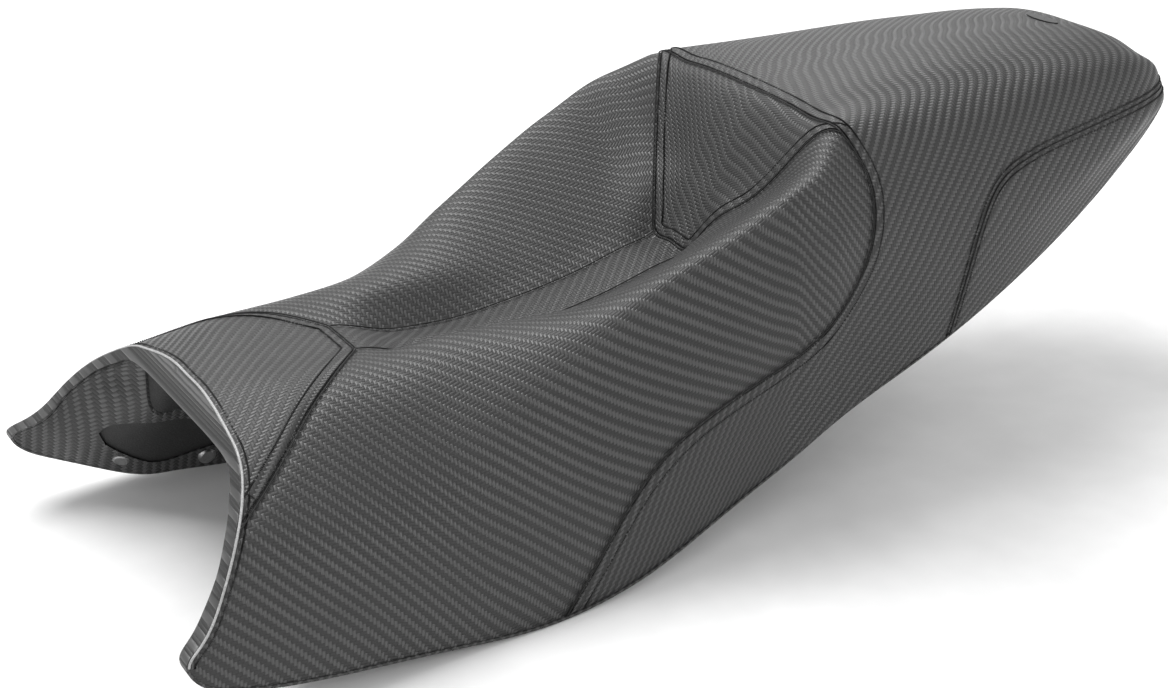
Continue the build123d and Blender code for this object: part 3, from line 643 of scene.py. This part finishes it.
def twill_vinyl(name, angle, axes=None, tone=1.0):
    """Black satin vinyl embossed as 2x2 twill, its ribs running at angle degrees in cloth coordinates."""
    shader = Shader(name)
    u, v = cloth_places(shader, axes)
    place = shader.place()
    turn = math.radians(angle - 45)
    c, s = math.cos(turn) / TOW, math.sin(turn) / TOW
    p = shader.math("ADD", shader.math("MULTIPLY", u, c), shader.math("MULTIPLY", v, s))
    q = shader.math("ADD", shader.math("MULTIPLY", u, -s), shader.math("MULTIPLY", v, c))
    i, j = shader.math("FLOOR", p), shader.math("FLOOR", q)
    fp, fq = shader.math("FRACT", p), shader.math("FRACT", q)
    k = shader.math("FLOORED_MODULO", shader.math("SUBTRACT", i, j), 4.0)
    over = shader.math("LESS_THAN", k, 1.5)

    def dome(value, power):
        centred = shader.math("ABSOLUTE", shader.math("MULTIPLY_ADD", value, 2.0, -1.0))
        return shader.math("SUBTRACT", 1.0, shader.math("POWER", centred, power))

    run_p = shader.math("MULTIPLY", shader.math("ADD", k, fp), 0.5)
    run_q = shader.math("MULTIPLY", shader.math("ADD", shader.math("SUBTRACT", 3.0, k), fq), 0.5)
    warp = shader.math("MULTIPLY", dome(fq, 2.5), dome(run_p, 4.0))
    weft = shader.math("MULTIPLY", dome(fp, 2.5), dome(run_q, 4.0))
    threads = shader.mix(over, shader.math("MULTIPLY", weft, 0.6), warp)
    height = shader.math("MULTIPLY_ADD", over, 0.35, threads)
    patchy = shader.noise(place, 38.0)
    fine = shader.noise(place, 2600.0, 2.0)
    # Painted sheen: warp floats are coloured lighter than weft floats
    value = shader.mix(over, WEFT_TONE * tone, WARP_TONE * tone)
    # Painted shade: the colour darkens in the dips between threads, following the relief height
    value = shader.math("MULTIPLY", value, shader.math("MULTIPLY_ADD", height, 0.5, 0.5))
    value = shader.math("MULTIPLY", value, shader.math("MULTIPLY_ADD", patchy, 0.3, 0.85))
    rough = shader.mix(over, 0.52, 0.36)
    rough = shader.math("MULTIPLY_ADD", patchy, 0.1, shader.math("SUBTRACT", rough, 0.05))
    grain = shader.bump(fine, 0.00004, 0.35)
    normal = shader.bump(height, 0.00034, 1.0, grain)
    shader.set(Base_Color=shader.grey(value), Roughness=rough, Normal=normal)
    shader.set(Specular_IOR_Level=0.5)
    return shader.material


def plain(name, tone, rough, scale, relief, metal=0.0, spread=0.35, tint=(1.0, 1.0, 1.0)):
    """A single-stuff finish whose tone, gloss and relief all vary with grain."""
    shader = Shader(name)
    place = shader.place()
    coarse = shader.noise(place, scale * 0.12)
    fine = shader.noise(place, scale, 4.0)
    value = shader.math("MULTIPLY_ADD", fine, tone * spread * 2, tone * (1 - spread))
    value = shader.math("MULTIPLY", value, shader.math("MULTIPLY_ADD", coarse, 0.4, 0.8))
    shader.set(Base_Color=shader.grey(value, tint), Metallic=metal)
    shader.set(Roughness=shader.math("MULTIPLY_ADD", coarse, 0.16, rough - 0.08))
    shader.set(Normal=shader.bump(fine, relief, 0.8))
    return shader.material


def seen_from_above(material):
    """The same material, clear when looked at from behind."""
    tree = material.node_tree
    clear, both = tree.nodes.new("ShaderNodeBsdfTransparent"), tree.nodes.new("ShaderNodeMixShader")
    behind = tree.nodes.new("ShaderNodeNewGeometry").outputs["Backfacing"]
    tree.links.new(behind, both.inputs[0])
    tree.links.new(tree.nodes["Principled BSDF"].outputs[0], both.inputs[1])
    tree.links.new(clear.outputs[0], both.inputs[2])
    tree.links.new(both.outputs[0], tree.nodes["Material Output"].inputs[0])
    return material


def speckled(name):
    """Moulded black plastic with a coarse eroded texture, with small bright specks painted into its colour as
    glints.
    """
    shader = Shader(name)
    place = shader.place()
    grain = shader.noise(place, 900.0, 4.0)
    # Painted glints: small bright specks added to the colour
    painted_glint = shader.math("GREATER_THAN", shader.noise(place, 1500.0, 1.0), 0.7)
    worn = shader.noise(place, 30.0)
    value = shader.math("MULTIPLY_ADD", painted_glint, 0.03, shader.math("MULTIPLY_ADD", worn, 0.012, 0.004))
    shader.set(Base_Color=shader.grey(value), Roughness=shader.math("MULTIPLY_ADD", grain, 0.3, 0.5))
    shader.set(Normal=shader.bump(grain, 0.0004, 0.7))
    return shader.material


# ---- Skin, seams and panels ----
grid_y, grid_w, BASE, grid_u, grid_v, TRIS, SHAPE = build_grid()
BASE_NORMALS = grid_normals(BASE, SHAPE)
flat_yz = (BASE / SCALE)[:, 1:]
flat_xy = (BASE / SCALE)[:, :2]
rows = np.column_stack([
    grid_y, grid_w, grid_u, grid_v, BASE_NORMALS,
    signed(flat_yz, smooth_line(ARCH_EDGE + [TIP] + BOTTOM_EDGE, 500)) - HEM_INSET,
    signed(flat_yz, smooth_line(PASSENGER_SEAM, 240)),
    signed(flat_yz, smooth_line(TAIL_SEAM, 240)),
    -signed(flat_xy, both_sides(NOSE_SEAM)),
    signed(flat_xy, both_sides(LUMBAR_SEAM)),
    CHANNEL_HALF_WIDTH - np.abs(flat_xy[:, 0]),
])
FIELDS = rows.copy()
skin, rows, edge_cut = clip(TRIS, rows, EDGE, 1)


def panel(tris, cuts):
    """A part of the skin kept by cuts of (column, sign), and the segments of its last cut."""
    r, segments = rows, None
    for column, sign in cuts:
        tris, r, segments = clip(tris, r, column, sign)
    return tris, r, segments


LAYOUT = {
    "passenger": [(TAILSIDE, -1), (PASSENGER, 1)],
    "tail": [(PASSENGER, 1), (TAILSIDE, 1)],
    "nose": [(PASSENGER, -1), (NOSE, 1)],
    "lumbar": [(PASSENGER, -1), (LUMBAR, 1)],
    "channel": [(PASSENGER, -1), (NOSE, -1), (LUMBAR, -1), (CHANNEL, 1)],
    "rider": [(PASSENGER, -1), (NOSE, -1), (LUMBAR, -1), (CHANNEL, -1)],
}
CUT = {name: panel(skin, cuts) for name, cuts in LAYOUT.items()}
BACK_OF_SEAT = panel(skin, [(PASSENGER, 1)])
SEAMS = {"passenger": seam_points(BACK_OF_SEAT[2], BACK_OF_SEAT[1])}
for name in ("tail", "nose", "lumbar", "channel"):
    SEAMS[name] = seam_points(CUT[name][2], CUT[name][1])
EDGE_LINES = seam_points(edge_cut, rows)


def sink(points):
    """Total depth of the seam hollows and of the tucked hem at each point of the skin."""
    total = np.zeros(len(points))
    for lines in SEAMS.values():
        for line in lines:
            low, high = line.min(axis=0) - 3 * PINCH_WIDTH, line.max(axis=0) + 3 * PINCH_WIDTH
            close = ((points > low) & (points < high)).all(axis=1)
            total[close] = np.maximum(total[close], hollow(nearest(points[close], line)))
    for line in EDGE_LINES:
        low, high = line.min(axis=0) - 0.01, line.max(axis=0) + 0.01
        close = ((points > low) & (points < high)).all(axis=1)
        tuck = HEM_TUCK * np.exp(-(nearest(points[close], line) / HEM_TUCK_WIDTH) ** 2)
        total[close] = np.maximum(total[close], tuck)
    return total


def ripple(points):
    """Slight unevenness of stretched vinyl over foam."""
    x, y, z = points.T
    wave = np.sin(x * 61 + y * 23 + 1.3) * np.sin(y * 47 - z * 31) + 0.6 * np.sin(y * 83 + x * 37 + z * 53)
    return RIPPLE * wave


SKIN_POINTS = BASE + BASE_NORMALS * (ripple(BASE) - sink(BASE))[:, None]
SKIN_NORMALS = grid_normals(SKIN_POINTS, SHAPE)
SKIN_UV = np.column_stack([grid_u, grid_v])
SKIN_TREE = BVHTree.FromPolygons(SKIN_POINTS.tolist(), TRIS.tolist())


def panel_object(name, key, material, side):
    """A cover panel as a mesh; side 1 or -1 keeps the left or right half, and 0 the whole."""
    tris, r, _ = CUT[key]
    if side:
        middle = r[tris, GIRTH].mean(axis=1)
        tris = tris[middle * side > 0]
    used, tris = np.unique(tris, return_inverse=True)
    tris = tris.reshape(-1, 3)
    r = r[used]
    base = surface(r[:, Y], r[:, GIRTH])
    normals = r[:, NORMAL] / np.linalg.norm(r[:, NORMAL], axis=1, keepdims=True)
    points = base + normals * (ripple(base) - sink(base))[:, None]
    shading = np.array([surface_normal(q) for q in points])
    obj = add_mesh(name, points, tris, uv=r[:, CLOTH_UV], normals=shading)
    dress(obj, material)
    return obj


CLOTH = {
    "nose": twill_vinyl("vinyl_nose", -45),
    "channel": twill_vinyl("vinyl_channel", -45, tone=0.8),
    "lumbar": twill_vinyl("vinyl_lumbar", -34),
    "rider_left": twill_vinyl("vinyl_rider_left", 38),
    "rider_right": twill_vinyl("vinyl_rider_right", 42),
    "passenger": twill_vinyl("vinyl_passenger", -42),
    "tail": twill_vinyl("vinyl_tail", -45),
}
# Piece name, layout entry, cloth, side, and the frame's nodes that the panel hides
PANELS = [
    ("nose_panel", "nose", "nose", 0, ["cover_nose"]),
    ("channel_panel", "channel", "channel", 0, ["cover_channel"]),
    ("lumbar_panel", "lumbar", "lumbar", 0, ["cover_lumbar"]),
    ("rider_panel_left", "rider", "rider_left", 1, ["cover_rider_left", "foam_rider", "gel_pad_left"]),
    ("rider_panel_right", "rider", "rider_right", -1, ["cover_rider_right", "gel_pad_right"]),
    ("passenger_panel", "passenger", "passenger", 0, ["cover_passenger", "foam_passenger"]),
    ("tail_panel_left", "tail", "tail", 1, ["cover_tail_left"]),
    ("tail_panel_right", "tail", "tail", -1, ["cover_tail_right"]),
]
for name, key, cloth, side, nodes in PANELS:
    piece = panel_object(name, key, CLOTH[cloth], side)
    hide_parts(*nodes)

# ---- Seams: a near-black cord of painted shade along the fold line, raised band and two rows of stitches ----
THREAD = plain("thread", 0.006, 0.5, 900.0, 0.0001)
# Near-black colour of the seam cord: painted shade standing in for the shadow in each seam's crease
FOLD_SHADE = plain("seam_fold_shade", 0.004, 0.75, 700.0, 0.0001)
# For each sewn seam: the column that rises towards its band, the band's two edges and its two stitch rows.
# The channel's seams are plain folds, with only the cord of painted shade.
SEWN = {
    "passenger": (PASSENGER, 0.0004, 0.0082, (0.0016, 0.0074)),
    "nose": (NOSE, 0.0004, 0.0082, (0.0016, 0.0074)),
    "lumbar": (LUMBAR, 0.0004, 0.0082, (0.0016, 0.0074)),
    "tail": (TAILSIDE, -0.0040, 0.0040, (-0.0032, 0.0032)),
}


def value_near(point, column):
    """A column of the skin's table at the grid point nearest a place."""
    return FIELDS[np.argmin(((BASE - point) ** 2).sum(axis=1)), column]


def facing(line, column):
    """1 if moving to the line's left over the skin raises a column's value, else -1."""
    middle = len(line) // 2
    d = line[middle + 1] - line[middle - 1]
    b = np.cross(surface_normal(line[middle]), d)
    b /= np.linalg.norm(b)
    return 1 if value_near(line[middle] + b * 0.006, column) > value_near(line[middle], column) else -1


for key, lines in SEAMS.items():
    # A near-black cord of painted shade along each seam's crease
    cord_points, cord_faces = sweep([q[::2] for q in lines], FOLD_SHADE_RADIUS, sides=6)
    dress(add_mesh(f"{key}_seam_fold_shade", cord_points, cord_faces), FOLD_SHADE)
    if key not in SEWN:
        continue
    column, start, end, rows_at = SEWN[key]
    turned = [q if facing(q, column) > 0 else q[::-1].copy() for q in lines]
    band(f"{key}_seam_band", [q[::2] for q in turned], start, end, CLOTH[key])
    rows_of = [beside(q[::2], offset, STITCH_HEIGHT) for q in turned for offset in rows_at]
    stitches(f"{key}_stitches", rows_of, THREAD)

# ---- Hem along the front arch ----
# The hem's light grey colour is a painted highlight along the arch edge
HEM = plain("hem_painted_highlight", 0.35, 0.35, 1200.0, 0.0002, spread=0.8)
arch = []
for line in EDGE_LINES:
    high = (line[:, 2] > ARCH_LOW) & (line[:, 1] < ARCH_BACK)
    run = np.flatnonzero(high)
    if len(run):
        arch.append(line[run[0]:run[-1] + 1])
hem_points, hem_faces = sweep([q[::2] for q in arch], ARCH_HEM_RADIUS)
dress(add_mesh("arch_hem", hem_points, hem_faces), HEM)
inner = [beside(q[::2] if facing(q, EDGE) > 0 else q[::-2], ARCH_STITCH_INSET, 0.0002) for q in arch]
stitches("arch_stitches", inner, THREAD, length=0.004, gap=0.0012)

# ---- Folded edges, from the frame's own shapes with their corners rounded ----
EDGE_VINYL = twill_vinyl("vinyl_edge", 90, axes=("Y", "Z"))
for node in ("edge_fold_front", "edge_fold_left", "edge_fold_right"):
    piece = bpy.data.objects.new(node + "_soft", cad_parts[node].data.copy())
    bpy.context.scene.collection.objects.link(piece)
    piece.data.materials.clear()
    weld = piece.modifiers.new("weld", "WELD")
    weld.merge_threshold = WELD_DISTANCE
    round_off = piece.modifiers.new("round", "BEVEL")
    round_off.width = EDGE_ROUND
    round_off.segments = 3
    round_off.limit_method = "ANGLE"
    round_off.angle_limit = math.radians(40)
    dress(piece, EDGE_VINYL)
    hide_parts(node)

# ---- Hard parts keep the frame's meshes ----
FINISHES = [
    (speckled("pan_plastic"), ["base_pan"]),
    (twill_vinyl("vinyl_liner", 90, axes=("Y", "Z"), tone=0.9), ["horn_liner_left", "horn_liner_right"]),
    (twill_vinyl("vinyl_band", 45, axes=("Y", "Z"), tone=0.8), ["turned_edge_left", "turned_edge_right"]),
    (plain("rivet_metal", 0.28, 0.32, 1500.0, 0.0001, metal=1.0), ["rivets_left", "rivets_right"]),
    (plain("patch_plastic", 0.008, 0.35, 1200.0, 0.0001), ["tail_patch"]),
    (plain("steel_zinc", 0.5, 0.35, 700.0, 0.0001, metal=1.0, spread=0.15, tint=(1.0, 0.98, 0.93)),
     ["front_tongue", "tongue_screws", "striker_plate", "latch_striker", "striker_screws"]),
    (plain("rubber", 0.018, 0.75, 1100.0, 0.0003),
     ["bumper_front_left", "bumper_front_right", "bumper_rear_left", "bumper_rear_right"]),
]
for finish, nodes in FINISHES:
    for node in nodes:
        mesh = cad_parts[node].data
        mesh.materials.clear()
        mesh.materials.append(finish)

# ---- Room, light and camera ----
floor = bpy.data.objects.new("floor", bpy.data.meshes.new("floor"))
floor.data.from_pydata([(-9, -9, 0), (9, -9, 0), (9, 9, 0), (-9, 9, 0)], [], [(0, 1, 2, 3)])
floor.location = (0, 0, cad_lo.z - 0.0005)
bpy.context.scene.collection.objects.link(floor)
floor.data.materials.append(seen_from_above(plain("floor_paper", 0.85, 0.9, 60.0, 0.00005, spread=0.03)))

scene = bpy.context.scene
world = bpy.data.worlds.new("studio")
scene.world = world
world.use_nodes = True
world.node_tree.nodes["Background"].inputs["Color"].default_value = (1, 1, 1, 1)
world.node_tree.nodes["Background"].inputs["Strength"].default_value = WORLD_LIGHT


def area_light(name, place, target, size, power):
    """A softbox at a place, turned to a target."""
    data = bpy.data.lights.new(name, "AREA")
    data.shape = "RECTANGLE"
    data.size, data.size_y = size
    data.energy = power
    light = bpy.data.objects.new(name, data)
    light.location = place
    light.rotation_euler = (Vector(target) - Vector(place)).to_track_quat("-Z", "Y").to_euler()
    scene.collection.objects.link(light)


for light in LIGHTS:
    area_light(*light)

camera = bpy.data.objects.new("camera", bpy.data.cameras.new("camera"))
scene.collection.objects.link(camera)
level = math.cos(CAMERA_ELEVATION)
east, north = math.sin(CAMERA_AZIMUTH), math.cos(CAMERA_AZIMUTH)
back = Vector((east * level, -north * level, math.sin(CAMERA_ELEVATION)))
camera.location = CAMERA_PLACE
camera.rotation_euler = back.to_track_quat("Z", "Y").to_euler()
camera.data.sensor_width = 36.0
camera.data.lens = CAMERA_LENS
camera.data.clip_start = 0.05
scene.camera = camera
scene.view_settings.view_transform = "Standard"
